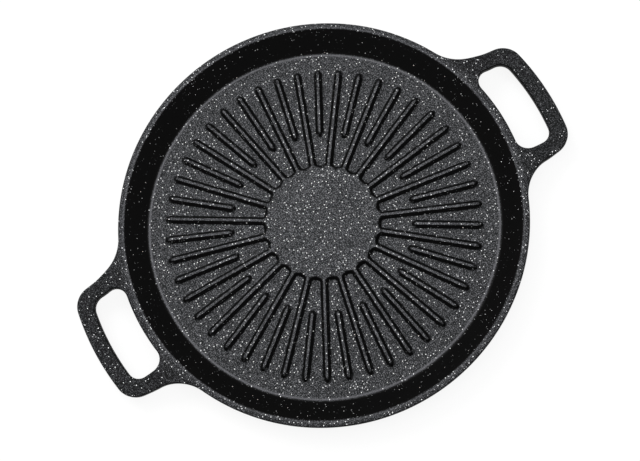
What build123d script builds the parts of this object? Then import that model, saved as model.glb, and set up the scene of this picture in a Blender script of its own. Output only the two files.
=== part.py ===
from build123d import *
import os
from math import atan, cos, degrees, radians, sin, tan

# A round grill pan cast in one piece of aluminium, with two loop handles that flow out
# of its rim, and a perforated steel disc pressed into its underside for induction hobs.
# Millimetres. +Z is up, the pan rests on Z = 0, and +X runs along the two handles.

# Overall bowl
rim_radius = 160.0
rim_width = 5.5
well_depth = 16.0
floor_radius = 140.0
floor_thickness = 6.0
wall_thickness = 4.0
wall_foot_bevel = 1.5
underside_round = 9.0
underside_flats = 3

# Rim band, which the handles share
band_height = 8.0
band_top_bevel = 1.3
band_under_bevel = 2.2
rim_inner_bevel = 0.8

# Centre plateau and its ribs
plateau_radius = 46.5
rib_pairs = 23
rib_phase = -24.4
rib_height = 3.5
rib_foot_width = 6.9
rib_flank_run = 2.4
rib_end_facets = 3
juice_ring_width = 14.4
short_rib_setback = 23.1
pocket_round_share = 0.35
crest_bevel = 0.4

# Loop handles
handle_length = 43.3
handle_end_half_width = 46.0
handle_flare_angle = 7.0
handle_corner_round = 17.0
handle_root_round = 34.0
grip_width = 13.1
arm_inset = 9.8
opening_gap = 2.0
opening_corner_round = 10.0
handle_drop = 5.0
drop_run = 20.0

# Machined foot and the induction disc set into it
foot_inset = 12.5
foot_step = 1.0
foot_land = 28.0
disc_thickness = 1.0
disc_fit_gap = 0.1
stud_fit_gap = 0.05
stud_radius = 3.4
stud_sides = 8
stud_edge_margin = 16.0
stud_rings = 3
studs_per_ring_step = 5

# One overrun serves every cut, and one small distance tells edges apart
overrun = 5.0
edge_match = 0.05

# Worked out from the sizes above
rim_top = floor_thickness + well_depth
band_bottom = rim_top - band_height
rim_inner_radius = rim_radius - rim_width
wall_slope = (rim_inner_radius - floor_radius) / well_depth
wall_run = wall_thickness / cos(atan(wall_slope))
handle_reach = rim_radius + handle_length
opening_inner_radius = rim_radius + opening_gap
opening_outer_radius = handle_reach - grip_width
opening_half_length = handle_end_half_width - arm_inset
rib_end_radius = floor_radius - juice_ring_width
short_rib_start_radius = plateau_radius + short_rib_setback
flank_angle = degrees(atan(rib_flank_run / rib_height))
rib_pitch = 360.0 / rib_pairs
pocket_width = plateau_radius * radians(rib_pitch) - rib_foot_width
pocket_corner_round = pocket_round_share * pocket_width
foot_radius = floor_radius - foot_inset
disc_radius = foot_radius - foot_land
stud_ring_step = (disc_radius - stud_edge_margin) / stud_rings


def outer_wall_radius(height):
    """Radius of the wall's outer face, which runs parallel to the inner one."""
    return floor_radius + (height - floor_thickness) * wall_slope + wall_run


def nearest_vertices(shape, points):
    """The corner of the shape that lies nearest to each point."""
    return [shape.vertices().sort_by_distance(Vector(*point))[0] for point in points]


def mirrored_points(points):
    """Each point of one quarter, in all four quarters of the plan."""
    return [(x * sx, y * sy) for x, y in points for sx in (1, -1) for sy in (1, -1)]


def revolved(points):
    """A closed outline in the XZ plane, turned once around the pan's axis."""
    return revolve(make_face(Plane.XZ * Polyline(points, close=True)), Axis.Z)


def handle_side_half_width(x):
    """Half the handle's width at a distance from the pan's axis, without its rounds."""
    return handle_end_half_width + (handle_reach - x) * tan(radians(handle_flare_angle))


def handle_blank():
    """Plan of both handles before rounding: a strip with flared sides and a bowed end."""
    near, far = rim_inner_radius / 2, handle_reach
    side = make_face(Polyline([
        (near, -handle_side_half_width(near)), (far, -handle_side_half_width(far)),
        (far, handle_side_half_width(far)), (near, handle_side_half_width(near)),
    ], close=True))
    strip = side + side.mirror(Plane.YZ)
    return strip & Circle(handle_reach)


def finger_opening():
    """Plan of one finger opening: a slot bowed along the rim, with rounded corners."""
    middle = (opening_inner_radius + opening_outer_radius) / 2
    window = Pos(middle, 0) * Rectangle(middle, 2 * opening_half_length)
    slot = (Circle(opening_outer_radius) - Circle(opening_inner_radius)) & window
    return fillet(slot.vertices(), opening_corner_round)


def band_plan():
    """Plan of the rim band and both handles as one outline with two openings."""
    blank = handle_blank()
    plan = Circle(rim_radius) + blank
    root_y = handle_side_half_width(rim_radius)
    root_x = (rim_radius**2 - root_y**2) ** 0.5
    end_y = handle_side_half_width(handle_reach)
    end_x = (handle_reach**2 - end_y**2) ** 0.5
    roots = nearest_vertices(plan, mirrored_points([(root_x, root_y)]))
    plan = fillet(roots, handle_root_round)
    ends = nearest_vertices(plan, mirrored_points([(end_x, end_y)]))
    plan = fillet(ends, handle_corner_round)
    slot = finger_opening()
    return plan - slot - slot.mirror(Plane.YZ)


def droop_profile():
    """Side view of the band: level across the bowl, easing down to each grip."""
    start = opening_inner_radius
    middle, end = start + drop_run / 2, start + drop_run
    far = handle_reach + overrun
    half = handle_drop / 2

    def ease(height):
        first = TangentArc((start, height), (middle, height - half), tangent=(1, 0))
        second = TangentArc((middle, height - half), (end, height - handle_drop), tangent=first % 1)
        return first + second

    top = Line((0, rim_top), (start, rim_top)) + ease(rim_top)
    under = Line((0, band_bottom), (start, band_bottom)) + ease(band_bottom)
    tip_top, tip_under = (far, rim_top - handle_drop), (far, band_bottom - handle_drop)
    edges = top + Line((end, rim_top - handle_drop), tip_top) + Line(tip_top, tip_under)
    edges += Line(tip_under, (end, band_bottom - handle_drop)) + under
    edges += Line((0, band_bottom), (0, rim_top))
    half_face = make_face(edges.edges())
    return half_face + half_face.mirror(Plane.YZ)


def band_and_handles():
    """The rim band and both handles, as one plate with bevelled edges."""
    low = band_bottom - handle_drop - overrun
    block = Pos(0, 0, low) * extrude(band_plan(), rim_top + overrun - low)
    side = extrude(Plane.XZ * droop_profile(), rim_radius + overrun, both=True)
    plate = block & side
    top = plate.edges().filter_by(lambda edge: is_outline(edge, rim_top))
    plate = chamfer(top, band_top_bevel)
    under = plate.edges().filter_by(lambda edge: is_outline(edge, band_bottom))
    return chamfer(under, band_under_bevel)


def is_outline(edge, level):
    """True for an edge of the outline or an opening on the surface of that level."""
    box = edge.bounding_box()
    near_level = level - handle_drop - edge_match < box.min.Z
    near_level = near_level and box.max.Z < level + edge_match
    middle = edge @ 0.5
    straight_across = box.size.X < edge_match and box.size.Y > grip_width
    return near_level and not straight_across and middle.X**2 + middle.Y**2 > rim_inner_radius**2


def underside_corner():
    """Profile points of the round between the underside and the wall, in a few flats."""
    turn = radians(90) - atan(wall_slope)
    centre_z = foot_step + underside_round
    setback = underside_round * tan(turn / 2)
    centre_r = outer_wall_radius(foot_step) - setback
    angles = [turn * i / underside_flats for i in range(underside_flats + 1)]
    return [(centre_r + underside_round * sin(a), centre_z - underside_round * cos(a))
            for a in angles]


def bowl_blank():
    """The bowl's outside, solid through: foot, rounded underside and sloping wall."""
    under_band = outer_wall_radius(band_bottom)
    return revolved([
        (0, 0), (foot_radius, 0), (foot_radius, foot_step), *underside_corner(),
        (under_band, band_bottom), (under_band, rim_top - band_top_bevel),
        (0, rim_top - band_top_bevel),
    ])


def well():
    """The space inside the bowl, from the floor to above the rim."""
    lip = rim_inner_radius + wall_slope * overrun
    space = revolved([
        (0, floor_thickness), (floor_radius, floor_thickness),
        (lip, rim_top + overrun), (0, rim_top + overrun),
    ])
    foot = [e for e in space.edges().filter_by(GeomType.CIRCLE)
            if abs(e.radius - floor_radius) < edge_match]
    return chamfer(foot, wall_foot_bevel)


def rib_plan(start, end):
    """Plan of one rib along +X, with both ends rounded in a few flats."""
    half = rib_foot_width / 2
    turns = [radians(-90 + 180 * i / rib_end_facets) for i in range(rib_end_facets + 1)]
    outer = [(end - half + half * cos(t), half * sin(t)) for t in turns]
    inner = [(start + half - half * cos(t), -half * sin(t)) for t in turns]
    return make_face(Polyline(outer + inner, close=True))


def raised(plan):
    """A plan drawn up from the floor to the crests, with drafted flanks and bevelled edges."""
    block = Pos(0, 0, floor_thickness) * extrude(plan, rib_height, taper=flank_angle)
    crest = block.faces().sort_by(Axis.Z)[-1].edges()
    return chamfer(crest, crest_bevel)


def plateau():
    """The raised centre and the long ribs that run out of it, at one level."""
    long_rib = rib_plan(plateau_radius / 2, rib_end_radius)
    plan = Circle(plateau_radius)
    plan += [Rot(0, 0, rib_phase + i * rib_pitch) * long_rib for i in range(rib_pairs)]
    reach = plateau_radius + rib_foot_width
    corners = [v for v in plan.vertices() if v.X**2 + v.Y**2 < reach**2]
    return raised(fillet(corners, pocket_corner_round))


def short_ribs():
    """The free-standing ribs, one in each pocket between two long ones."""
    one = raised(rib_plan(short_rib_start_radius, rib_end_radius))
    turn = rib_phase + rib_pitch / 2
    return [Rot(0, 0, turn + i * rib_pitch) * one for i in range(rib_pairs)]


def stud_places():
    """Places of the studs and of the disc's holes, in rings that fill its face."""
    places = []
    for ring in range(1, stud_rings + 1):
        count = ring * studs_per_ring_step
        places += list(PolarLocations(ring * stud_ring_step, count, start_angle=90.0 / count))
    return places


def disc_seat():
    """What the underside loses for the disc: a shallow recess that keeps its studs."""
    seat = Cylinder(disc_radius + disc_fit_gap, disc_thickness + overrun,
                    align=(Align.CENTER, Align.CENTER, Align.MAX))
    seat = Pos(0, 0, disc_thickness) * seat
    stud = extrude(RegularPolygon(stud_radius, stud_sides), disc_thickness)
    return seat - [place * stud for place in stud_places()]


def pan_body():
    """The whole casting."""
    body = bowl_blank() + band_and_handles() - well()
    edge = [e for e in body.edges().filter_by(GeomType.CIRCLE)
            if abs(e.radius - rim_inner_radius) < edge_match
            and (e @ 0.5).Z > rim_top - edge_match]
    body = chamfer(edge, rim_inner_bevel)
    body = body + plateau() + short_ribs()
    return body - disc_seat()


def induction_base_disc():
    """The perforated steel disc, flush with the foot."""
    disc = Cylinder(disc_radius, disc_thickness, align=(Align.CENTER, Align.CENTER, Align.MIN))
    hole = extrude(RegularPolygon(stud_radius + stud_fit_gap, stud_sides), overrun, both=True)
    return disc - [place * hole for place in stud_places()]


os.makedirs("parts", exist_ok=True)
nodes = {"pan_body": pan_body, "induction_base_disc": induction_base_disc}
for name, make in nodes.items():
    export_step(make(), f"parts/{name}.step")
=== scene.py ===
import math

import bmesh
import bpy
import numpy as np
from mathutils import Matrix, Vector


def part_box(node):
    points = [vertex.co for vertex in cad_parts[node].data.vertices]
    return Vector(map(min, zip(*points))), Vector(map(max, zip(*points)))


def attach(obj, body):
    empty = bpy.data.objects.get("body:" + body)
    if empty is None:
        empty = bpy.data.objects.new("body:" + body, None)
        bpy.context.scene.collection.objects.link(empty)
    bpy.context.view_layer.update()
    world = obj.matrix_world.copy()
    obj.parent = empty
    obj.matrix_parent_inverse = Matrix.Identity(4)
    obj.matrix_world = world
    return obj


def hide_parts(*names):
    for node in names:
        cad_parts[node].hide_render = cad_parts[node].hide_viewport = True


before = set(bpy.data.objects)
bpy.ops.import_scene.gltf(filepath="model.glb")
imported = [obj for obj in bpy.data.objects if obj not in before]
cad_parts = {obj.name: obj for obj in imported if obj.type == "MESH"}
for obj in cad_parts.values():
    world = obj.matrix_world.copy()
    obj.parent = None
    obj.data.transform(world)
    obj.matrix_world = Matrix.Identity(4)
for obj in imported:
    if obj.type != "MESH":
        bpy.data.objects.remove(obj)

bl_info = {
    "name": "Grill pan",
    "version": (1, 0, 0),
    "blender": (4, 5, 0),
    "location": "3D View > Sidebar > Grill pan",
    "description": "Dresses a round cast grill pan with its ribs, rim, handles and coating",
    "category": "Object",
}

MM = 0.001

# Shapes too small to be settings, most as shares of the sizes that they follow
LIP_ROW_SHARE, UNDER_ROW_SHARE = 0.9, 0.68
GROOVE_PLACE_SHARES = (0.3, 0.55, 0.8)
GROOVE_ARCH_SHARES = ((-1, 0), (-0.5, 0.8), (0, 1), (0.5, 0.8), (1, 0))
STUD_RADIUS_SHARES = (0, 1, 1, 0.93, 0.5, 0)
STUD_HEIGHT_SHARES = (1.1, 1.1, 0.08, 0.0, 0.015, 0.02)
STUD_START_SHARE = 0.25
FOOT_OVERLAP = 0.1 * MM

# Rows of the cooking surface, from the plateau's foot and from the ends of the ribs
PLATEAU_ROW_SHARES = (0, 0.25, 0.5, 0.75, 0.9)
PLATEAU_EDGE_ROWS = np.linspace(-2.4 * MM, 0.6 * MM, 15)
POCKET_ROWS = np.array([1.0, 1.5, 2.1, 2.8, 3.8, 6, 12, 17]) * MM
TIP_ROWS = np.linspace(-0.7 * MM, 1.9 * MM, 13)
INNER_TIP_ROWS = np.array([0, 0.7, 1.6]) * MM
OUTER_TIP_ROWS = np.array([2.2, 1.2, 0.5]) * MM
MIDDLE_SETBACK, MIDDLE_COUNT = 8 * MM, 5
JUICE_RING_ROWS = np.array([2.5, 6, 11.9, 12]) * MM
COLUMN_ROOM_SHARE = 1.02

# How finely arcs and skins are stepped
FLANK_STEPS, FLANK_COLUMNS = 9, 4
END_STEPS, CORNER_STEPS, SIDE_STEPS, ROOT_STEPS = 30, 16, 14, 22
OPENING_STEPS, OPENING_CORNER_STEPS, HANDLE_SKIN_ROWS = 200, 100, 9
FOOT_TURN_STEPS = 360

# The coat's pattern: places and widths of its bands, and how uneven it is
CELL_RANDOMNESS, GRAIN_EDGE_SHARE, FULL_GRAIN_COVER = 0.6, 0.2, 0.5
FLECK_SHIFT, STRAY_SHIFT = (0.4, 0.1, 0.2), (0.1, 0.3, 0.2)
NOISE_LOW, NOISE_HIGH = 0.3, 0.7
SMALLEST_GRAIN_SHARE, SMALLEST_FLECK_SHARE, SMALLEST_STRAY_SHARE = 0.6, 0.75, 0.6
STRAY_TONE_POWER = 3.0
CLOUD_SIZE, CLOUD_LOW_SHARE = 35 * MM, 0.92
PEEL_SIZE, PEEL_DEPTH, ROUGHNESS_SPREAD = 1.6 * MM, 0.03 * MM, 0.07
GRAIN_BUMP_SHARE, FLECK_BUMP_SHARE, COAT_BUMP_STRENGTH = 0.35, 0.5, 0.8
COAT_IOR = 1.35
# Painted highlights: lighter grey bands along the wall's foot and the rim's inner edge
FOOT_HIGHLIGHT_SETBACK, FOOT_HIGHLIGHT_HALF_WIDTH = 2.0 * MM, 1.4 * MM
LIP_HIGHLIGHT_SETBACK, LIP_HIGHLIGHT_HALF_WIDTH = 1.4 * MM, 1.0 * MM
WALL_FOOT_FADE, LIP_FADE_IN, LIP_FADE_OUT = 1.6 * MM, 0.6 * MM, 1.0 * MM

# The bare metals' rings, drawn coarser than real ones so that they show
FOOT_RING_PITCH, DISC_RING_PITCH = 1.2 * MM, 0.9 * MM
FOOT_CHANGES, DISC_CHANGES = 1.5, 4.0
FOOT_ROUGHNESS, DISC_ROUGHNESS = 0.34, 0.3
SMOOTHER_BY, ROUGHER_BY = 0.08, 0.1
RING_DEPTH, RING_BUMP_STRENGTH = 0.02 * MM, 0.7
DULL_SHARE = 0.66

# The stage: places and sizes in metres, in the picture's axes
FLOOR_HALF_SIZE, FLOOR_GAP = 12.0, 0.2 * MM
KEY_PLACE, KEY_SIZE = (-0.75, 0.85, 1.1), 0.9
PANEL_PLACE, PANEL_SIZE = (0.15, 0.1, 1.5), 1.2
LAMP_UP = (0.01, 1, 0)
BOARD_WHITE_SHARE = 0.85
WHITE = (1, 1, 1, 1)
SENSOR_WIDTH = 36

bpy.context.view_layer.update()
casting_low, casting_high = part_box("pan_body")
_, disc_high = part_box("induction_base_disc")
floor_plane_z = casting_low.z


def metres(name, description, value):
    """A setting in metres."""
    return bpy.props.FloatProperty(
        name=name, description=description, default=value, unit="LENGTH")


def degrees(name, description, value):
    """A setting in degrees, kept in radians."""
    return bpy.props.FloatProperty(
        name=name, description=description, default=math.radians(value), subtype="ANGLE")


def factor(name, description, value):
    """A plain number or share."""
    return bpy.props.FloatProperty(name=name, description=description, default=value)


def whole(name, description, value):
    """A whole number."""
    return bpy.props.IntProperty(name=name, description=description, default=value)


def shade(name, description, hex_code):
    """A colour, kept as the sRGB hex code that it is read by."""
    return bpy.props.StringProperty(name=name, description=description, default=hex_code)


class BowlSizes(bpy.types.PropertyGroup):
    """Sizes of the bowl, which the frame gives where it can."""
    rim_radius: metres("Rim radius", "Outer radius of the rim band", casting_high.y)
    rim_top: metres("Rim height", "Height of the rim above the hob", casting_high.z)
    rim_width: metres("Rim width", "Width of the rim's flat lip with its rounds", 5.5 * MM)
    rim_inner_round: metres(
        "Rim inner round", "Radius of the lip's edge towards the well", 1.2 * MM)
    well_depth: metres("Well depth", "From the lip down to the floor", 16 * MM)
    floor_radius: metres("Floor radius", "Where the sloping wall would meet the floor", 140 * MM)
    wall_foot_round: metres("Wall foot round", "Radius between the floor and the wall", 2.4 * MM)
    wall_thickness: metres("Wall thickness", "Metal thickness of the sloping wall", 4 * MM)
    under_band_round: metres(
        "Under band round", "Radius between the wall and the band's underside", 2 * MM)
    skin_lift: metres(
        "Skin lift", "How far the ribs' ground lies above the plain floor", 0.02 * MM)
    underside_round: metres("Underside round", "Radius between the underside and the wall", 9 * MM)
    plain_steps: whole("Plain side steps", "Grid steps along the rim from handle to handle", 200)
    bridge_steps: whole("Bridge steps", "Grid steps along the rim between a handle's roots", 56)


class RibSizes(bpy.types.PropertyGroup):
    """Sizes of the plateau and of the ribs that run out of it."""
    pairs: whole("Rib pairs", "Long ribs, each followed by a short one", 23)
    phase: degrees("Rib phase", "Direction of the first long rib", -24.4)
    plateau_radius: metres("Plateau radius", "Radius of the raised centre at its foot", 46.5 * MM)
    height: metres("Rib height", "Crest above the floor", 3.5 * MM)
    foot_width: metres("Rib foot width", "Width of a rib at the floor", 6.9 * MM)
    flank_run: metres("Flank run", "How far a flank leans in from foot to crest", 2.4 * MM)
    end_radius: metres("Rib end radius", "Where the ribs end, before the juice ring", 125.6 * MM)
    short_start_radius: metres("Short rib start", "Where the short ribs begin", 69.6 * MM)
    pocket_round: metres("Pocket round", "Radius of the pockets' corners at the plateau", 1.5 * MM)
    crest_round: metres("Crest round", "Radius along the edges of a crest", 0.55 * MM)
    foot_round: metres("Foot round", "Radius where a flank meets the floor", 0.8 * MM)


class HandleSizes(bpy.types.PropertyGroup):
    """Sizes of the two loop handles and of the band that they share with the rim."""
    reach: metres("Handle reach", "From the pan's axis to the grip's outer edge", casting_high.x)
    end_half_width: metres("End half width", "Half the handle's width at its far end", 46 * MM)
    flare: degrees("Side flare", "How much each side opens towards the rim", 7)
    corner_round: metres("Corner round", "Radius of the handle's outer corners", 17 * MM)
    root_round: metres("Root round", "Radius between a handle's side and the rim", 34 * MM)
    grip_width: metres("Grip width", "Width of the bar that the hand holds", 13.1 * MM)
    opening_gap: metres("Opening gap", "From the rim's outer radius to the finger opening", 2 * MM)
    opening_half_length: metres(
        "Opening half length", "Half the finger opening's length", 36.2 * MM)
    opening_corner_round: metres(
        "Opening corner round", "Radius of the finger opening's corners", 10 * MM)
    thickness: metres("Band thickness", "Thickness of the rim band and the handles", 8 * MM)
    top_round: metres("Upper edge round", "Radius of the band's upper edge", 2 * MM)
    under_round: metres("Lower edge round", "Radius of the band's lower edge", 3 * MM)
    drop: metres("Handle drop", "How far a grip lies below the rim", 5 * MM)
    drop_run: metres("Drop run", "Length over which a handle eases down", 20 * MM)


class FootSizes(bpy.types.PropertyGroup):
    """Sizes of the turned foot and of the studs that hold the steel disc."""
    foot_radius: metres("Foot radius", "Outer radius of the turned foot", 127.5 * MM)
    foot_step: metres("Foot step", "How far the foot stands below the underside", disc_high.z)
    edge_bevel: metres("Foot edge bevel", "Bevel on the turned foot's edges", 0.3 * MM)
    groove_width: metres("Groove half width", "Half the width of a turned groove", 0.6 * MM)
    groove_depth: metres("Groove depth", "Depth of a turned groove", 0.15 * MM)
    disc_gap: metres("Disc gap", "Clearance around the steel disc", 0.1 * MM)
    stud_radius: metres("Stud radius", "From a stud's centre to its corners", 3.4 * MM)
    stud_sides: whole("Stud sides", "Sides of a stud, as many as its hole has", 8)
    stud_edge_margin: metres(
        "Stud edge margin", "From the last ring of studs to the disc's edge", 16 * MM)
    stud_rings: whole("Stud rings", "Rings of studs", 3)
    studs_per_ring_step: whole(
        "Studs per step", "Studs in the first ring, and more in each next one", 5)


class CoatSettings(bpy.types.PropertyGroup):
    """Sizes and amounts of the sprayed speckle, and the coat's gloss."""
    hollow_normals: bpy.props.FloatVectorProperty(
        name="Hollow normals", description="Upward share of a normal in a hollow edge where "
        "spray begins and where it is full", size=2, default=(0.58, 0.85))
    proud_normals: bpy.props.FloatVectorProperty(
        name="Proud normals", description="The same on a proud edge in the well", size=2,
        default=(0.9, 0.995))
    kept_edge: metres(
        "Kept edge", "How far in from the rim's outside the spray keeps to its edges", 3 * MM)
    # Painted highlight: the ribs' crests are drawn lighter
    crest_highlight_gain: factor("Gain on crests", "Painted highlight on the ribs' narrow crests", 0.18)
    # Painted shade: the floor is drawn darker from the plateau outwards
    outward_shade: factor(
        "Painted shade outwards", "Painted shade on the floor's edge against its middle", 0.14)
    handle_share: factor("Spray on handles", "Spray on the handles against the well", 0.48)
    thin_from: metres("Spray thins from", "Radius where the spray starts to thin out", 154 * MM)
    thin_to: metres("Spray thinned at", "Radius where the spray is as thin as on a grip", 163 * MM)
    grain_spacing: metres("Grain spacing", "Distance between grey grains", 1.0 * MM)
    grain_radius: metres("Grain radius", "Radius of the largest grey grains", 0.45 * MM)
    grain_share: factor("Grain share", "Share of the places that have a grain", 0.95)
    fleck_spacing: metres("Fleck spacing", "Distance between the places of white flecks", 2.6 * MM)
    fleck_radius: metres("Fleck radius", "Radius of the largest white flecks", 0.42 * MM)
    fleck_share: factor("Fleck share", "Share of the places with a fleck on level faces", 0.26)
    stray_spacing: metres("Stray spacing", "Distance between the places of stray flecks", 1.7 * MM)
    stray_radius: metres("Stray radius", "Radius of the largest stray flecks", 0.36 * MM)
    stray_share: factor(
        "Stray share", "Share of the places with a stray fleck, which show on steep faces", 0.4)
    # Painted highlights along the wall's foot and the rim's inner edge
    foot_highlight: factor(
        "Painted highlight at the foot", "Strength of the lighter band along the wall's foot", 0.7)
    lip_highlight: factor(
        "Painted highlight at the lip", "Strength of the lighter band along the rim's inner edge", 0.25)
    roughness: factor("Roughness", "Roughness of the cured coat", 0.42)
    gloss: factor("Gloss", "Specular level of the coat, which is low", 0.07)


class FinishColours(bpy.types.PropertyGroup):
    """Colours of the coating, the metals and the floor, as sRGB hex codes."""
    coat: shade("Coat", "Black non-stick coat", "#060606")
    overspray: shade("Overspray", "Fine mist of speckle on level faces", "#1e1f20")
    grain: shade("Grain", "Darkest of the grey grains", "#343537")
    granule: shade("Granule", "Lightest of the grey grains", "#7f8084")
    # Painted highlight: flat grey of the bands along the wall's foot and rim's inner edge, and of
    # the ribs' crests
    pool: shade("Painted highlight", "Lighter bands along edges", "#69696d")
    fleck: shade("Fleck", "White flecks", "#f4f5f6")
    aluminium: shade("Aluminium", "Bare turned aluminium", "#c9cacb")
    steel: shade("Steel", "Stainless steel of the disc", "#b9b8b5")
    floor: shade("Floor", "Studio floor", "#f4f4f4")


class StageSettings(bpy.types.PropertyGroup):
    """The camera at the photograph's place, and the light."""
    distance: metres("Camera distance", "From the pan's floor to the camera", 0.95)
    lens: factor("Lens", "Focal length in millimetres on a 36 mm sensor", 68.06)
    heading: degrees("Heading", "How far the handles are turned in the picture", 30.05)
    lean_right: factor("Lean right", "Camera's run to the picture's right for one unit up", 0.0905)
    lean_up: factor("Lean up", "Camera's run to the picture's top for one unit up", -0.2163)
    aim: bpy.props.FloatVectorProperty(
        name="Aim", description="Point of the pan's floor in the middle of the picture",
        default=(-2.01 * MM, -6.43 * MM, 0), unit="LENGTH")
    ambient: factor("Ambient", "Strength of the light from all around", 0.75)
    key_power: bpy.props.FloatProperty(
        name="Key light", description="Power of the softbox", default=16.0, unit="POWER")
    fill_power: bpy.props.FloatProperty(
        name="Fill light", description="Power of the overhead panel", default=9.0, unit="POWER")


def settings(name):
    """The group of settings of that name, as the scene keeps it."""
    return getattr(bpy.context.scene, "grill_pan_" + name)


def linear(hex_code):
    """An sRGB hex code as the linear colour that a socket takes."""
    values = [int(hex_code[i:i + 2], 16) / 255 for i in (1, 3, 5)]
    return [v / 12.92 if v <= 0.04045 else ((v + 0.055) / 1.055) ** 2.4 for v in values] + [1.0]


def grid_quads(rows, columns, closed):
    """Corner numbers of a grid's quads; a closed grid joins its last column to the first."""
    i = np.arange(rows - 1)[:, None]
    j = np.arange(columns if closed else columns - 1)[None, :]
    k = (j + 1) % columns
    corners = [i * columns + j, i * columns + k, (i + 1) * columns + k, (i + 1) * columns + j]
    return np.stack(np.broadcast_arrays(*corners), axis=-1).reshape(-1, 4)


def solid_from_grids(name, grids, weld=1e-6):
    """One closed mesh from grids of points, given as (rows by columns by 3, closed).

    Grids that share an edge have the same points there. The edges are welded, a row
    that is one point becomes a pole, and all faces are turned outwards.
    """
    points, quads, first = [], [], 0
    for grid, closed in grids:
        rows, columns = grid.shape[:2]
        points.append(grid.reshape(-1, 3))
        quads.append(grid_quads(rows, columns, closed) + first)
        first += rows * columns
    points, quads = np.concatenate(points), np.concatenate(quads)
    mesh = bpy.data.meshes.new(name)
    mesh.vertices.add(len(points))
    mesh.vertices.foreach_set("co", points.astype(np.float32).ravel())
    mesh.loops.add(quads.size)
    mesh.loops.foreach_set("vertex_index", quads.astype(np.int32).ravel())
    mesh.polygons.add(len(quads))
    mesh.polygons.foreach_set("loop_start", np.arange(0, quads.size, 4, dtype=np.int32))
    mesh.update(calc_edges=True)
    solid = bmesh.new()
    solid.from_mesh(mesh)
    bmesh.ops.remove_doubles(solid, verts=solid.verts, dist=weld)
    bmesh.ops.recalc_face_normals(solid, faces=solid.faces)
    open_edges = [edge for edge in solid.edges if not edge.is_manifold]
    if open_edges:
        raise RuntimeError(f"{name}: {len(open_edges)} edges are open")
    solid.to_mesh(mesh)
    solid.free()
    mesh.shade_smooth()
    piece = bpy.data.objects.new(name, mesh)
    bpy.context.scene.collection.objects.link(piece)
    return piece


def smooth_share(value, low, high):
    """0 below low, 1 above high, and a smooth rise between them."""
    t = np.clip((value - low) / (high - low), 0, 1)
    return t * t * (3 - 2 * t)


def add_spray(piece):
    """Keeps on each vertex how much of the speckle spray landed there.

    The amounts are fitted to the photograph, which doesn't show how the coat was made.
    Level faces are grey and steep ones black, as under a spray from straight above.
    Hollow edges keep more of it than the proud ones in the well, the rim's outside and
    the handles keep it to their edges, and handles are darker. The amount also holds a
    painted highlight on the crests and a painted shade from the plateau outwards.
    """
    coat, bowl, ribs = settings("coat"), settings("bowl"), settings("ribs")
    mesh = piece.data
    normals = np.empty(len(mesh.vertices) * 3, np.float32)
    places = np.empty(len(mesh.vertices) * 3, np.float32)
    mesh.vertex_normals.foreach_get("vector", normals)
    mesh.vertices.foreach_get("co", places)
    places = places.reshape(-1, 3)
    upward, height = normals.reshape(-1, 3)[:, 2], places[:, 2]
    radius = np.hypot(places[:, 0], places[:, 1])
    floor_z, plateau = bowl.rim_top - bowl.well_depth, ribs.plateau_radius
    kept = (height < floor_z + 0.5 * ribs.height) | (radius > bowl.rim_radius - coat.kept_edge)
    level = np.where(kept,
                     smooth_share(upward, *coat.hollow_normals),
                     smooth_share(upward, *coat.proud_normals))
    away = smooth_share(radius, coat.thin_from, coat.thin_to)
    # Painted highlight: the crests take more than the full amount, which turns them lighter grey
    proud = smooth_share(height, floor_z + 0.5 * ribs.height, floor_z + ribs.height)
    proud *= smooth_share(radius, plateau, plateau + ribs.foot_width)
    proud *= radius < ribs.end_radius
    amount = level * (1 - (1 - coat.handle_share) * away) * (1 + coat.crest_highlight_gain * proud)
    # Painted shade: the floor darkens from the plateau out to the wall
    amount *= 1 - coat.outward_shade * smooth_share(radius, plateau, bowl.floor_radius)
    # The amount holds the speckle together with the painted crest highlight and the painted shade
    # outwards
    spray = mesh.attributes.new("spray", "FLOAT", "POINT")
    spray.data.foreach_set("value", amount.astype(np.float32))


def dress(piece, material):
    """Gives a piece of the casting its material and its place in the frame."""
    piece.data.materials.append(material)
    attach(piece, "root")
    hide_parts("pan_body")


def flank_profile(steps):
    """Distance and height along a rib's flank: floor, arc, straight slope, arc, crest."""
    ribs = settings("ribs")
    lean = math.atan2(ribs.height, ribs.flank_run)
    turn = np.linspace(0, lean, steps)
    foot_reach = ribs.foot_round * math.tan(lean / 2)
    crest_start = ribs.flank_run + ribs.crest_round * math.tan(lean / 2)
    foot = [ribs.foot_round * np.sin(turn) - foot_reach, ribs.foot_round * (1 - np.cos(turn))]
    crest = [crest_start - ribs.crest_round * np.sin(turn),
             ribs.height - ribs.crest_round * (1 - np.cos(turn))]
    return np.concatenate([np.array(foot), np.array(crest)[:, ::-1]], axis=1)


def rounded_union(a, b, radius):
    """Distance outside the union of two plans, whose inner corners have that radius."""
    u, v = np.maximum(radius - a, 0), np.maximum(radius - b, 0)
    return np.maximum(radius, np.minimum(a, b)) - np.hypot(u, v)


def rib_distance(radius, angle, first, start):
    """Distance outside the nearest rib of a ring of ribs with round ends."""
    ribs = settings("ribs")
    half, pitch = ribs.foot_width / 2, 2 * math.pi / ribs.pairs
    off_axis = (angle - first + pitch / 2) % pitch - pitch / 2
    along, across = radius * np.cos(off_axis), radius * np.sin(off_axis)
    past_end = np.maximum(along - (ribs.end_radius - half), (start + half) - along)
    return np.hypot(np.maximum(past_end, 0), across) - half


def cooking_height(radius, angle):
    """Height above the floor at a place of the cooking surface.

    The plateau and the long ribs are one plan whose corners are rounded, the short
    ribs are a plan of their own, and the flank's profile gives the height for the
    distance inside the plan's edge.
    """
    ribs = settings("ribs")
    long_ribs = rib_distance(radius, angle, ribs.phase, 0)
    star = rounded_union(radius - ribs.plateau_radius, long_ribs, ribs.pocket_round)
    short_ribs = rib_distance(radius, angle, ribs.phase + math.pi / ribs.pairs,
                              ribs.short_start_radius)
    distance, height = flank_profile(FLANK_STEPS)
    return np.interp(-np.minimum(star, short_ribs), distance, height)


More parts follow.
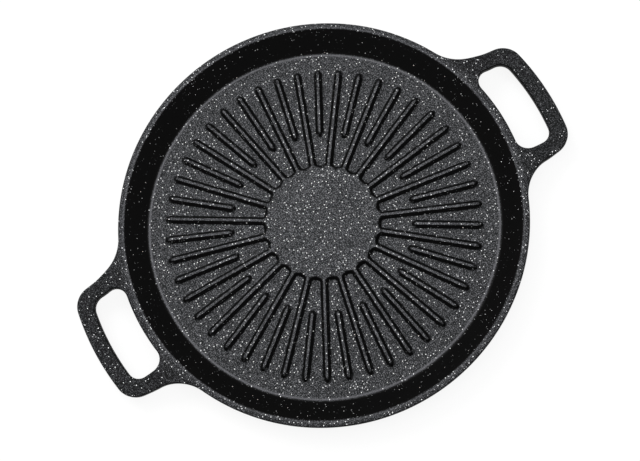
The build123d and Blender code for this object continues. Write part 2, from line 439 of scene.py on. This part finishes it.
def cooking_rows():
    """Radii of the cooking surface's rows, close together where the height changes."""
    ribs = settings("ribs")
    half, plateau = ribs.foot_width / 2, ribs.plateau_radius
    start, end = ribs.short_start_radius, ribs.end_radius
    return np.concatenate([
        np.array(PLATEAU_ROW_SHARES) * plateau,
        plateau + PLATEAU_EDGE_ROWS,
        plateau + POCKET_ROWS,
        start + TIP_ROWS,
        start + half + INNER_TIP_ROWS,
        np.linspace(start + MIDDLE_SETBACK, end - MIDDLE_SETBACK, MIDDLE_COUNT),
        end - half - OUTER_TIP_ROWS,
        end - TIP_ROWS[::-1],
        end + JUICE_RING_ROWS,
    ])


def cooking_surface_grid(floor_z, under_z):
    """Points of the cooking surface: rows are circles, columns run along the ribs.

    A column keeps its distance w from the axis of its rib, so a point on the circle
    of radius r is sqrt(r * r - w * w) along the rib and w across it. Near the centre
    the distances shrink with the space between two ribs.
    """
    ribs = settings("ribs")
    half_sector = math.pi / ribs.pairs / 2
    edges = ribs.foot_width / 2 - flank_profile(FLANK_COLUMNS)[0][::-1]
    kept = np.concatenate([[0, edges[0] / 2], edges])
    radius = cooking_rows()[:, None]
    room = radius * math.sin(half_sector)
    near = kept[None, :] * np.minimum(1, room / (kept[-1] * COLUMN_ROOM_SHARE))
    rest = near[:, -1:] + (room - near[:, -1:]) * np.array([[0.5, 1.0]])
    side = np.concatenate([near, rest], axis=1)
    across = np.concatenate([-side[:, :0:-1], side[:, :-1]], axis=1)
    turn = np.arcsin(across / np.maximum(radius, MM))
    axes = ribs.phase + 2 * half_sector * np.arange(2 * ribs.pairs)
    angle = (axes[None, :, None] + turn[:, None, :]).reshape(len(radius), -1)
    radius = np.broadcast_to(radius, angle.shape)
    height = floor_z + cooking_height(radius, angle)
    top = np.stack([radius * np.cos(angle), radius * np.sin(angle), height], axis=-1)
    under = top[[-1, 0]]
    under[..., 2] = under_z
    return np.concatenate([top, under])


def arc(centre, radius, start, end, steps, outward=1.0):
    """Points of an arc in plan, and the directions that face away from the metal."""
    angle = np.linspace(start, end, steps + 1)
    direction = np.stack([np.cos(angle), np.sin(angle)], axis=-1)
    return np.asarray(centre) + radius * direction, outward * direction


def joined(*paths):
    """Paths one after another; a point where one ends and the next begins is kept once."""
    points = [paths[0][0]] + [points[1:] for points, _ in paths[1:]]
    facing = [paths[0][1]] + [facing[1:] for _, facing in paths[1:]]
    return np.concatenate(points), np.concatenate(facing)


def mirrored(points, facing):
    """The same path on the other side of the handle's middle, run through backwards."""
    flip = np.array([1.0, -1.0])
    return (points * flip)[::-1], (facing * flip)[::-1]


def handle_outline():
    """Outline of one handle from rim to rim, and the angle at which it leaves the rim.

    Bowed end, corner arc, straight flared side, root arc and rim circle are tangent to
    each other. An arc's centre lies one radius from the side's line and one radius
    outside the rim circle, or inside the end circle.
    """
    bowl, handle = settings("bowl"), settings("handle")
    normal = np.array([math.sin(handle.flare), math.cos(handle.flare)])
    along = np.array([math.cos(handle.flare), -math.sin(handle.flare)])
    offset = normal @ np.array([handle.reach, handle.end_half_width])

    def centre(from_line, from_axis):
        return from_line * normal + math.sqrt(from_axis**2 - from_line**2) * along

    root = centre(offset + handle.root_round, bowl.rim_radius + handle.root_round)
    corner = centre(offset - handle.corner_round, handle.reach - handle.corner_round)
    leave = math.atan2(root[1], root[0])
    side_angle = math.atan2(normal[1], normal[0])
    end_angle = math.atan2(corner[1], corner[0])
    share = np.linspace(0, 1, SIDE_STEPS + 1)[:, None]
    side_start = corner + handle.corner_round * normal
    side_end = root - handle.root_round * normal
    upper = joined(
        arc((0, 0), handle.reach, 0, end_angle, END_STEPS),
        arc(corner, handle.corner_round, end_angle, side_angle, CORNER_STEPS),
        (side_start + share * (side_end - side_start), np.tile(normal, (len(share), 1))),
        arc(root, handle.root_round, side_angle - math.pi, leave - math.pi, ROOT_STEPS, -1.0))
    return joined(mirrored(*upper), upper), leave


def opening_limits():
    """Inner and outer radius of the finger opening around the pan's axis."""
    bowl, handle = settings("bowl"), settings("handle")
    return bowl.rim_radius + handle.opening_gap, handle.reach - handle.grip_width


def opening_outline(loop):
    """Edge of a finger opening, with one point towards each point of the loop around it.

    The opening lies between two circles around the pan's axis and two straight ends,
    with rounded corners. Its middle sees each point of the edge once, so the edge is
    sampled by the bearing of the loop's points from that middle.
    """
    handle = settings("handle")
    inner, outer = opening_limits()
    bend, end_y = handle.opening_corner_round, handle.opening_half_length
    corner_y = end_y - bend
    inner_x = math.sqrt((inner + bend) ** 2 - corner_y**2)
    outer_x = math.sqrt((outer - bend) ** 2 - corner_y**2)
    inner_angle, outer_angle = math.atan2(corner_y, inner_x), math.atan2(corner_y, outer_x)
    far_corner = arc((outer_x, corner_y), bend, outer_angle, math.pi / 2,
                     OPENING_CORNER_STEPS, -1.0)
    near_corner = arc((inner_x, corner_y), bend, math.pi / 2, math.pi + inner_angle,
                      OPENING_CORNER_STEPS, -1.0)
    upper = joined(
        arc((0, 0), outer, 0, outer_angle, OPENING_STEPS, -1.0), far_corner,
        tuple(np.stack([far_corner[i][-1], near_corner[i][0]]) for i in (0, 1)),
        near_corner, arc((0, 0), inner, inner_angle, 0, OPENING_STEPS))
    points, facing = joined(upper, mirrored(*upper))
    middle = np.array([(inner + outer) / 2, 0])
    seen = np.unwrap(np.arctan2(points[:, 1], points[:, 0] - middle[0]))
    faced = np.unwrap(np.arctan2(facing[:, 1], facing[:, 0]))
    bearing = np.arctan2(loop[:, 1], loop[:, 0] - middle[0]) % (2 * math.pi)
    place = np.stack([np.interp(bearing, seen, points[:, i]) for i in (0, 1)], axis=-1)
    faced = np.interp(bearing, seen, faced)
    return place, np.stack([np.cos(faced), np.sin(faced)], axis=-1)


def handle_ease(x):
    """How far the band lies below the rim at a distance along X from the pan's axis.

    Two equal arcs, tangent to each other and to the levels that they join.
    """
    handle = settings("handle")
    run, drop = handle.drop_run / 2, handle.drop / 2
    bend = (run**2 + drop**2) / (2 * drop)
    t = np.clip(np.abs(x) - opening_limits()[0], 0, 2 * run)
    first = bend - np.sqrt(bend**2 - np.minimum(t, run) ** 2)
    second = 2 * drop - (bend - np.sqrt(bend**2 - np.minimum(2 * run - t, run) ** 2))
    return np.where(t <= run, first, second)


def band_edge(points, facing, steps=7):
    """The band's edge carried along an outline: upper round, side, lower round."""
    bowl, handle = settings("bowl"), settings("handle")
    turn = np.linspace(0, math.pi / 2, steps)
    upper, lower = handle.top_round, handle.under_round
    back = np.concatenate([upper * (1 - np.sin(turn)), lower * (1 - np.cos(turn))])
    fall = np.concatenate([upper * (1 - np.cos(turn)),
                           handle.thickness - lower * (1 - np.sin(turn))])
    plan = points[None] - back[:, None, None] * facing[None]
    height = bowl.rim_top - handle_ease(plan[..., 0]) - fall[:, None]
    return np.concatenate([plan, height[..., None]], axis=-1)


def ruled(start, end, rows, fall):
    """Skin between two edges, row by row, at the band's top less the fall."""
    share = np.linspace(0, 1, rows)[:, None, None]
    plan = start[None, :, :2] * (1 - share) + end[None, :, :2] * share
    height = settings("bowl").rim_top - handle_ease(plan[..., 0]) - fall
    skin = np.concatenate([plan, height[..., None]], axis=-1)
    skin[0], skin[-1] = start, end
    return skin


def rounded_profile(corners, radii, steps=8, supports=2):
    """Points of an outline whose corners are rounded by arcs tangent to both sides."""
    corners = np.asarray(corners, float)
    share = np.linspace(0, 1, supports + 2)[1:, None]
    angle_share = np.linspace(0, 1, steps)[:, None]
    points = [corners[:1]]
    for before, corner, after, radius in zip(corners, corners[1:], corners[2:], radii):
        into = (corner - before) / np.linalg.norm(corner - before)
        out = (after - corner) / np.linalg.norm(after - corner)
        turn = math.acos(into @ out)
        side = math.copysign(1, into[0] * out[1] - into[1] * out[0])
        normal = side * np.array([-into[1], into[0]])
        start = corner - radius * math.tan(turn / 2) * into
        last = points[-1][-1]
        angle = turn * angle_share
        points.append(last + share[:-1] * (start - last))
        points.append(start + radius * (np.sin(angle) * into + (1 - np.cos(angle)) * normal))
    last = points[-1][-1]
    points.append(last + share * (corners[-1] - last))
    return np.concatenate(points)


def turned(profile, angle):
    """A profile of radius and height, turned around the pan's axis."""
    radius, height = profile[:, :1], profile[:, 1:]
    circle = [radius * np.cos(angle), radius * np.sin(angle), height + 0 * angle]
    return np.stack(circle, axis=-1)


def both_sides(grid, closed):
    """A grid at one handle, and the same half a turn around the pan's axis."""
    return [(grid, closed), (grid * np.array([-1.0, -1.0, 1.0]), closed)]


def wall_profiles():
    """Profiles of the casting's inside and outside, as radius and height.

    The inside runs from the middle of the floor over the wall to the lip, and the
    outside from under the band to the middle of the underside.
    """
    bowl, handle, foot = settings("bowl"), settings("handle"), settings("foot")
    floor_z = bowl.rim_top - bowl.well_depth
    band_z = bowl.rim_top - handle.thickness
    rim_inner = bowl.rim_radius - bowl.rim_width
    slope = (rim_inner - bowl.floor_radius) / bowl.well_depth

    def outer_wall(z):
        run = bowl.wall_thickness * math.hypot(1, slope)
        return bowl.floor_radius + (z - floor_z) * slope + run

    lip = rim_inner + LIP_ROW_SHARE * bowl.rim_inner_round
    inside = [(0, floor_z), (bowl.floor_radius, floor_z), (rim_inner, bowl.rim_top),
              (lip, bowl.rim_top)]
    under = outer_wall(band_z)
    outside = [(under + UNDER_ROW_SHARE * bowl.under_band_round, band_z), (under, band_z),
               (outer_wall(foot.foot_step), foot.foot_step), (0, foot.foot_step)]
    return (rounded_profile(inside, [bowl.wall_foot_round, bowl.rim_inner_round]),
            rounded_profile(outside, [bowl.under_band_round, bowl.underside_round]))


def casting_grids():
    """The whole casting but its ribs, as grids that share their edges.

    Turned around the axis are the inside and the outside. Between them lie the band's
    rounded edge, carried along the outline of rim and handles, the same edge around
    each opening, and the level skins above and below, which are ruled from edge to edge.
    """
    bowl, handle = settings("bowl"), settings("handle")
    (outline, facing), leave = handle_outline()
    plain = np.linspace(leave, math.pi - leave, bowl.plain_steps + 1)[1:-1]
    bridge = np.linspace(-leave, leave, bowl.bridge_steps + 1)
    rim, rim_facing = arc((0, 0), bowl.rim_radius, plain[0], plain[-1], len(plain) - 1)
    path = np.concatenate([outline, rim, -outline, -rim])
    path_facing = np.concatenate([facing, rim_facing, -facing, -rim_facing])
    edge = band_edge(path, path_facing)
    circle = np.concatenate([bridge, plain, bridge + math.pi, plain + math.pi])
    inside, outside = (turned(profile, circle) for profile in wall_profiles())
    grids = [(inside, True), (outside, True), (edge, True)]

    on_handle = len(outline)
    on_bridge = len(bridge)
    on_plain = len(plain) + 1
    loops = [np.concatenate([edge[row, :on_handle], ring[:on_bridge][::-1]])
             for row, ring in ((0, inside[-1]), (-1, outside[0]))]
    hole = band_edge(*opening_outline(loops[0]))
    grids += both_sides(hole, True)
    for row, ring, loop, fall in ((0, inside[-1], loops[0], 0),
                                  (-1, outside[0], loops[1], handle.thickness)):
        ring_part = ring[on_bridge - 1:on_bridge + on_plain]
        edge_part = edge[row, on_handle - 1:on_handle + on_plain]
        grids += both_sides(ruled(ring_part, edge_part, 2, fall), False)
        grids += both_sides(ruled(loop, hole[row], HANDLE_SKIN_ROWS, fall), True)
    return grids


def foot_grid():
    """The turned foot: a ring of rectangular section with bevelled edges and grooves.

    The profile runs from the ring's inner top over its resting face to its outer top.
    Each groove is a shallow arch left by the tool.
    """
    foot = settings("foot")
    inner, outer = disc_high.x + foot.disc_gap, foot.foot_radius
    top = foot.foot_step + FOOT_OVERLAP
    bevel = foot.edge_bevel
    profile = [(inner, top), (inner, bevel), (inner + bevel, 0)]
    for share in GROOVE_PLACE_SHARES:
        middle = inner + share * (outer - inner)
        width = foot.groove_width
        profile += [(middle + side * width, depth * foot.groove_depth)
                    for side, depth in GROOVE_ARCH_SHARES]
    profile += [(outer - bevel, 0), (outer, bevel), (outer, top), (inner, top)]
    profile = np.array(profile) + [0, floor_plane_z]
    return turned(profile, np.linspace(0, 2 * math.pi, FOOT_TURN_STEPS + 1)[:-1])


def stud_grids():
    """The studs that fill the disc's holes, in rings, each turned to face its ring."""
    foot = settings("foot")
    corners = 2 * math.pi * np.arange(foot.stud_sides) / foot.stud_sides
    radius = np.array(STUD_RADIUS_SHARES) * foot.stud_radius
    height = np.array(STUD_HEIGHT_SHARES) * foot.foot_step
    ring_step = (disc_high.x - foot.stud_edge_margin) / foot.stud_rings
    grids = []
    for ring in range(1, foot.stud_rings + 1):
        count = ring * foot.studs_per_ring_step
        for place in 2 * math.pi * (np.arange(count) + STUD_START_SHARE) / count:
            centre = ring * ring_step * np.array([math.cos(place), math.sin(place)])
            turn = corners + place
            stud = [centre[0] + radius[:, None] * np.cos(turn),
                    centre[1] + radius[:, None] * np.sin(turn), height[:, None] + 0 * turn]
            grids.append((np.stack(stud, axis=-1), True))
    return grids


def add(tree, kind, inputs=None, **options):
    """Adds a node, sets its options, and sets or links its inputs.

    A node that is given as an input stands for its first output.
    """
    node = tree.nodes.new("ShaderNode" + kind)
    for name, value in options.items():
        setattr(node, name, value)
    for name, value in (inputs or {}).items():
        if isinstance(value, bpy.types.Node):
            value = value.outputs[0]
        if isinstance(value, bpy.types.NodeSocket):
            tree.links.new(value, node.inputs[name])
        else:
            node.inputs[name].default_value = value
    return node


def new_material(name):
    """An empty node material, its tree and its output node."""
    material = bpy.data.materials.new(name)
    material.use_nodes = True
    material.node_tree.nodes.clear()
    return material, material.node_tree, add(material.node_tree, "OutputMaterial")


def grains(tree, place, cell, radius, smallest, share, shift, dimensions="2D"):
    """Mask of round grains, at most one in each cell, and a random tone for each.

    Cell and radius are real lengths. Only the given share of the cells has a grain,
    whose size is drawn from the cell's own random colour, down to the smallest share
    of the radius. Grains in two dimensions lie as they fall from above; in three, they
    are as round on steep faces.
    """
    moved = add(tree, "Mapping", {"Vector": place, "Location": shift})
    cells = add(tree, "TexVoronoi", {"Vector": moved, "Scale": 1 / cell,
                                     "Randomness": CELL_RANDOMNESS}, voronoi_dimensions=dimensions)
    random = add(tree, "SeparateColor", {0: cells.outputs["Color"]})
    size = add(tree, "MapRange", {"Value": random.outputs["Green"],
                                  "To Min": smallest * radius / cell,
                                  "To Max": radius / cell})
    inside = add(tree, "Math", {0: size, 1: cells.outputs["Distance"]}, operation="SUBTRACT")
    mask = add(tree, "MapRange", {"Value": inside,
                                  "From Max": GRAIN_EDGE_SHARE * radius / cell})
    chosen = add(tree, "Math", {0: random.outputs["Red"], 1: share}, operation="LESS_THAN")
    mask = add(tree, "Math", {0: mask, 1: chosen}, operation="MULTIPLY")
    return mask, random.outputs["Blue"]


def edge_band(tree, radius, middle, half_width, peak):
    """Mask of a ring around the pan's axis, which fades out to both sides."""
    off = add(tree, "Math", {0: radius, 1: middle}, operation="SUBTRACT")
    off = add(tree, "Math", {0: off}, operation="ABSOLUTE")
    return add(tree, "MapRange", {"Value": off, "From Max": half_width,
                                  "To Min": peak, "To Max": 0.0},
               interpolation_type="SMOOTHSTEP")


def off_the_wall(tree, radius):
    """Mask of all but the wall, which stays black in the photograph."""
    bowl = settings("bowl")
    lip = bowl.rim_radius - bowl.rim_width
    inside = add(tree, "MapRange", {
        "Value": radius, "From Min": bowl.floor_radius - WALL_FOOT_FADE,
        "From Max": bowl.floor_radius, "To Min": 1.0, "To Max": 0.0})
    outside = add(tree, "MapRange", {
        "Value": radius, "From Min": lip - LIP_FADE_IN, "From Max": lip + LIP_FADE_OUT})
    return add(tree, "Math", {0: inside, 1: outside}, operation="MAXIMUM")


def speckled_coat():
    """Black PTFE non-stick coat, sprayed with grey and white granite speckle.

    Taken to be PTFE, cured to a low sheen with a fine orange peel, under a speckle
    spattered from above: level faces look grey and grainy, and steep ones stay black
    with single flecks. Along the wall's foot and the rim's inner edge the photograph
    shows lighter bands, which are drawn as painted highlights in a flat grey, and the
    ribs' crests get a painted highlight of the same grey. The real grain is finer than
    a pixel of the photograph, and is drawn 1 mm apart so that it shows.
    """
    colours, coat, bowl = settings("colours"), settings("coat"), settings("bowl")
    material, tree, output = new_material("sprayed_non_stick_coat_on_cast_aluminium")
    place = add(tree, "TexCoord").outputs["Object"]
    # The spray amount holds the speckle, the painted highlight on the crests and the painted shade
    # outwards
    spray = add(tree, "Attribute", attribute_name="spray").outputs["Fac"]
    clouds = add(tree, "TexNoise", {"Vector": place, "Scale": 1 / CLOUD_SIZE, "Detail": 2.0})
    cover = add(tree, "MapRange", {"Value": clouds, "From Min": NOISE_LOW,
                                   "From Max": NOISE_HIGH, "To Min": CLOUD_LOW_SHARE})
    cover = add(tree, "Math", {0: spray, 1: cover}, operation="MULTIPLY")
    radius, _ = circling(tree)
    cover = add(tree, "Math", {0: cover, 1: off_the_wall(tree, radius)}, operation="MULTIPLY")
    share = add(tree, "MapRange", {"Value": cover, "From Max": FULL_GRAIN_COVER,
                                   "To Max": coat.grain_share})
    grain, tone = grains(tree, place, coat.grain_spacing, coat.grain_radius,
                         SMALLEST_GRAIN_SHARE, share, (0, 0, 0))
    share = add(tree, "Math", {0: cover, 1: coat.fleck_share}, operation="MULTIPLY")
    fleck, _ = grains(tree, place, coat.fleck_spacing, coat.fleck_radius,
                      SMALLEST_FLECK_SHARE, share, FLECK_SHIFT)
    stray, whiteness = grains(tree, place, coat.stray_spacing, coat.stray_radius,
                              SMALLEST_STRAY_SHARE, coat.stray_share, STRAY_SHIFT, "3D")
    whiteness = add(tree, "Math", {0: whiteness, 1: STRAY_TONE_POWER}, operation="POWER")
    paint = add(tree, "MapRange", {"Value": cover})
    grey = add(tree, "Mix", {0: tone, 6: linear(colours.grain), 7: linear(colours.granule)},
               data_type="RGBA").outputs[2]
    dim = add(tree, "Mix", {0: whiteness, 6: linear(colours.grain), 7: linear(colours.fleck)},
              data_type="RGBA").outputs[2]
    shown = add(tree, "Math", {0: grain, 1: paint}, operation="MULTIPLY")
    # Painted highlights: lighter grey bands along the wall's foot and the rim's inner edge
    foot = edge_band(tree, radius, bowl.floor_radius - FOOT_HIGHLIGHT_SETBACK,
                     FOOT_HIGHLIGHT_HALF_WIDTH, coat.foot_highlight)
    lip = edge_band(tree, radius, bowl.rim_radius - bowl.rim_width + LIP_HIGHLIGHT_SETBACK,
                    LIP_HIGHLIGHT_HALF_WIDTH, coat.lip_highlight)
    painted_highlight = add(tree, "Math", {0: foot, 1: lip}, operation="MAXIMUM")
    painted_highlight = add(tree, "Math", {0: painted_highlight, 1: paint}, operation="MULTIPLY")
    # Painted highlight on the crests, where the spray amount is above 1, in the same grey
    painted_crest_highlight = add(tree, "MapRange", {"Value": spray, "From Min": 1.0, "From Max": 2.0})
    painted_highlight = add(tree, "Math", {0: painted_highlight, 1: painted_crest_highlight}, operation="ADD")
    colour = linear(colours.coat)
    for share, layer in ((paint, linear(colours.overspray)), (shown, grey),
                         (painted_highlight, linear(colours.pool)), (stray, dim),
                         (fleck, linear(colours.fleck))):
        colour = add(tree, "Mix", {0: share, 6: colour, 7: layer}, data_type="RGBA").outputs[2]
    peel = add(tree, "TexNoise", {"Vector": place, "Scale": 1 / PEEL_SIZE, "Detail": 3.0})
    raised = add(tree, "Math", {0: shown, 1: GRAIN_BUMP_SHARE, 2: peel}, operation="MULTIPLY_ADD")
    raised = add(tree, "Math", {0: fleck, 1: FLECK_BUMP_SHARE, 2: raised},
                 operation="MULTIPLY_ADD")
    bump = add(tree, "Bump", {"Height": raised, "Distance": PEEL_DEPTH,
                              "Strength": COAT_BUMP_STRENGTH})
    roughness = add(tree, "MapRange", {"Value": peel,
                                       "To Min": coat.roughness - ROUGHNESS_SPREAD,
                                       "To Max": coat.roughness + ROUGHNESS_SPREAD})
    shader = add(tree, "BsdfPrincipled", {
        "Base Color": colour, "Roughness": roughness, "IOR": COAT_IOR,
        "Specular IOR Level": coat.gloss, "Normal": bump})
    tree.links.new(shader.outputs[0], output.inputs[0])
    return material


def circling(tree):
    """Distance from the pan's axis and the angle around it, for lathe marks."""
    place = add(tree, "TexCoord").outputs["Object"]
    axes = add(tree, "SeparateXYZ", {0: place})
    flat = add(tree, "CombineXYZ", {0: axes.outputs[0], 1: axes.outputs[1]})
    radius = add(tree, "VectorMath", {0: flat}, operation="LENGTH")
    angle = add(tree, "Math", {0: axes.outputs[1], 1: axes.outputs[0]}, operation="ARCTAN2")
    return radius.outputs["Value"], angle


def lathe_marks(tree, radius, angle, pitch, around):
    """Uneven rings: noise that is short across the rings and long around them."""
    across = add(tree, "Math", {0: radius, 1: 1 / pitch}, operation="MULTIPLY")
    along = add(tree, "Math", {0: angle, 1: around}, operation="MULTIPLY")
    place = add(tree, "CombineXYZ", {0: across, 1: along})
    noise = add(tree, "TexNoise", {"Vector": place, "Scale": 1.0, "Detail": 2.0})
    return add(tree, "MapRange", {"Value": noise, "From Min": NOISE_LOW, "From Max": NOISE_HIGH})


def metal(name, hex_code, roughness, pitch, around):
    """A bare metal with rings across it, as turning or ring brushing leaves them.

    The pitch is the rings' width, and around says how often a ring changes on its way.
    """
    material, tree, output = new_material(name)
    radius, angle = circling(tree)
    marks = lathe_marks(tree, radius, angle, pitch, around)
    bump = add(tree, "Bump", {"Height": marks, "Distance": RING_DEPTH,
                              "Strength": RING_BUMP_STRENGTH})
    spread = add(tree, "MapRange", {"Value": marks, "To Min": roughness - SMOOTHER_BY,
                                    "To Max": roughness + ROUGHER_BY})
    tint = linear(hex_code)
    dull = [DULL_SHARE * v for v in tint[:3]] + [1.0]
    colour = add(tree, "Mix", {0: marks, 6: dull, 7: tint}, data_type="RGBA").outputs[2]
    shader = add(tree, "BsdfPrincipled", {
        "Base Color": colour, "Metallic": 1.0, "Roughness": spread, "Normal": bump})
    tree.links.new(shader.outputs[0], output.inputs[0])
    return material


def turned_aluminium():
    """Bare cast aluminium, turned after coating; the photograph doesn't show it."""
    return metal("turned_bare_aluminium", settings("colours").aluminium, FOOT_ROUGHNESS,
                 FOOT_RING_PITCH, FOOT_CHANGES)


def brushed_disc_steel():
    """Ferritic stainless sheet, brushed in rings; the photograph doesn't show it."""
    return metal("ring_brushed_stainless_steel", settings("colours").steel, DISC_ROUGHNESS,
                 DISC_RING_PITCH, DISC_CHANGES)


def background_rays(tree):
    """1 for rays from the camera, off gloss and through glass, and 0 for all others."""
    path = add(tree, "LightPath")
    seen = path.outputs["Is Camera Ray"]
    for ray in ("Is Glossy Ray", "Is Transmission Ray"):
        seen = add(tree, "Math", {0: seen, 1: path.outputs[ray]}, operation="MAXIMUM")
    return seen


def studio_floor():
    """Matt white studio board, which keeps a faint shadow and is white to the camera."""
    material, tree, output = new_material("matt_white_studio_board")
    share = add(tree, "Math", {0: background_rays(tree), 1: BOARD_WHITE_SHARE},
                operation="MULTIPLY")
    board = add(tree, "BsdfDiffuse", {"Color": linear(settings("colours").floor)})
    white = add(tree, "Emission", {"Color": WHITE, "Strength": 1.0})
    shader = add(tree, "MixShader", {0: share, 1: board, 2: white})
    tree.links.new(shader.outputs[0], output.inputs[0])
    return material


def picture_to_pan(vector):
    """Turns a vector from the picture's axes to the pan's, where +X is along the handles."""
    heading = settings("stage").heading
    x, y, z = vector
    return Vector((x * math.cos(heading) + y * math.sin(heading),
                   y * math.cos(heading) - x * math.sin(heading), z))


def aim(thing, eye, target, up):
    """Puts a camera or a lamp at a place, looking at a target, with a given up direction."""
    ahead = (target - eye).normalized()
    right = ahead.cross(up).normalized()
    turn = Matrix((right, right.cross(ahead), -ahead)).transposed()
    thing.matrix_world = Matrix.Translation(eye) @ turn.to_4x4()


def add_camera():
    """The camera, almost straight above the pan, at a place fitted to the photograph."""
    stage, bowl = settings("stage"), settings("bowl")
    floor = Vector((0, 0, bowl.rim_top - bowl.well_depth))
    lean = Vector((stage.lean_right, stage.lean_up, 1)).normalized()
    camera = bpy.data.objects.new("camera", bpy.data.cameras.new("camera"))
    camera.data.lens = stage.lens
    camera.data.sensor_width = SENSOR_WIDTH
    bpy.context.scene.collection.objects.link(camera)
    aim(camera, floor + picture_to_pan(stage.distance * lean), floor + picture_to_pan(stage.aim),
        picture_to_pan((0, 1, 0)))
    bpy.context.scene.camera = camera


def add_softbox(name, place, size, power):
    """A square soft light that faces the pan. Its place is given in the picture's axes."""
    lamp = bpy.data.objects.new(name, bpy.data.lights.new(name, "AREA"))
    lamp.data.size = size
    lamp.data.energy = power
    bpy.context.scene.collection.objects.link(lamp)
    aim(lamp, picture_to_pan(place), Vector((0, 0, 0)), Vector(LAMP_UP))


def add_world():
    """Even light from all around, which camera, metal and gloss see as white."""
    world = bpy.data.worlds.new("studio")
    world.use_nodes = True
    tree = world.node_tree
    tree.nodes.clear()
    strength = add(tree, "MapRange", {"Value": background_rays(tree),
                                      "To Min": settings("stage").ambient, "To Max": 1.0})
    background = add(tree, "Background", {"Color": WHITE, "Strength": strength})
    output = add(tree, "OutputWorld")
    tree.links.new(background.outputs[0], output.inputs[0])
    bpy.context.scene.world = world


class PAN_OT_cooking_surface(bpy.types.Operator):
    """Adds the plateau and the ribs, which lie on the casting's floor"""
    bl_idname = "pan.cooking_surface"
    bl_label = "Cooking surface"

    def execute(self, context):
        bowl = settings("bowl")
        floor_z = bowl.rim_top - bowl.well_depth
        grid = cooking_surface_grid(floor_z + bowl.skin_lift, floor_z - bowl.wall_foot_round)
        piece = solid_from_grids("cooking_surface", [(grid, True)])
        add_spray(piece)
        dress(piece, bpy.data.materials["sprayed_non_stick_coat_on_cast_aluminium"])
        return {"FINISHED"}


class PAN_OT_casting(bpy.types.Operator):
    """Adds the bowl with its rim and both handles as one closed skin"""
    bl_idname = "pan.casting"
    bl_label = "Bowl, rim and handles"

    def execute(self, context):
        piece = solid_from_grids("bowl_rim_and_handles", casting_grids())
        add_spray(piece)
        dress(piece, speckled_coat())
        return {"FINISHED"}


class PAN_OT_turned_foot(bpy.types.Operator):
    """Adds the ring of bare metal that the pan stands on"""
    bl_idname = "pan.turned_foot"
    bl_label = "Turned foot"

    def execute(self, context):
        piece = solid_from_grids("turned_foot", [(foot_grid(), True)])
        dress(piece, turned_aluminium())
        return {"FINISHED"}


class PAN_OT_studs(bpy.types.Operator):
    """Adds the cast studs that fill the holes of the steel disc"""
    bl_idname = "pan.studs"
    bl_label = "Cast studs"

    def execute(self, context):
        piece = solid_from_grids("cast_studs", stud_grids())
        dress(piece, bpy.data.materials["turned_bare_aluminium"])
        return {"FINISHED"}


class PAN_OT_disc_finish(bpy.types.Operator):
    """Finishes the perforated steel disc"""
    bl_idname = "pan.disc_finish"
    bl_label = "Steel disc finish"

    def execute(self, context):
        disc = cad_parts["induction_base_disc"]
        disc.data.materials.clear()
        disc.data.materials.append(brushed_disc_steel())
        return {"FINISHED"}


class PAN_OT_stage(bpy.types.Operator):
    """Adds the floor, the soft light and the camera"""
    bl_idname = "pan.stage"
    bl_label = "Stage"

    def execute(self, context):
        stage = settings("stage")
        board = bpy.data.meshes.new("floor")
        half, low = FLOOR_HALF_SIZE, floor_plane_z - FLOOR_GAP
        board.from_pydata([(-half, -half, low), (half, -half, low), (half, half, low),
                           (-half, half, low)], [], [(0, 1, 2, 3)])
        board.materials.append(studio_floor())
        floor = bpy.data.objects.new("floor", board)
        context.scene.collection.objects.link(floor)
        add_world()
        add_softbox("key_softbox", KEY_PLACE, KEY_SIZE, stage.key_power)
        add_softbox("overhead_panel", PANEL_PLACE, PANEL_SIZE, stage.fill_power)
        add_camera()
        context.scene.view_settings.view_transform = "Standard"
        return {"FINISHED"}


class PAN_PT_panel(bpy.types.Panel):
    """Lists the pan's pieces and their sizes"""
    bl_idname = "PAN_PT_panel"
    bl_label = "Grill pan"
    bl_space_type = "VIEW_3D"
    bl_region_type = "UI"
    bl_category = "Grill pan"

    def draw(self, context):
        for group in GROUPS:
            box = self.layout.box()
            box.label(text=group.capitalize())
            for name in GROUPS[group].__annotations__:
                box.prop(settings(group), name)
        for operator in OPERATORS:
            self.layout.operator(operator.bl_idname)


GROUPS = {"bowl": BowlSizes, "ribs": RibSizes, "handle": HandleSizes, "foot": FootSizes,
          "coat": CoatSettings, "colours": FinishColours, "stage": StageSettings}
OPERATORS = (PAN_OT_casting, PAN_OT_cooking_surface, PAN_OT_turned_foot, PAN_OT_studs,
             PAN_OT_disc_finish, PAN_OT_stage)


def register():
    for name, group in GROUPS.items():
        bpy.utils.register_class(group)
        setattr(bpy.types.Scene, "grill_pan_" + name, bpy.props.PointerProperty(type=group))
    for operator in OPERATORS:
        bpy.utils.register_class(operator)
    bpy.utils.register_class(PAN_PT_panel)


def unregister():
    bpy.utils.unregister_class(PAN_PT_panel)
    for operator in reversed(OPERATORS):
        bpy.utils.unregister_class(operator)
    for name, group in reversed(GROUPS.items()):
        delattr(bpy.types.Scene, "grill_pan_" + name)
        bpy.utils.unregister_class(group)


def main():
    register()
    for operator in OPERATORS:
        group, name = operator.bl_idname.split(".")
        getattr(getattr(bpy.ops, group), name)()


if __name__ == "__main__":
    main()
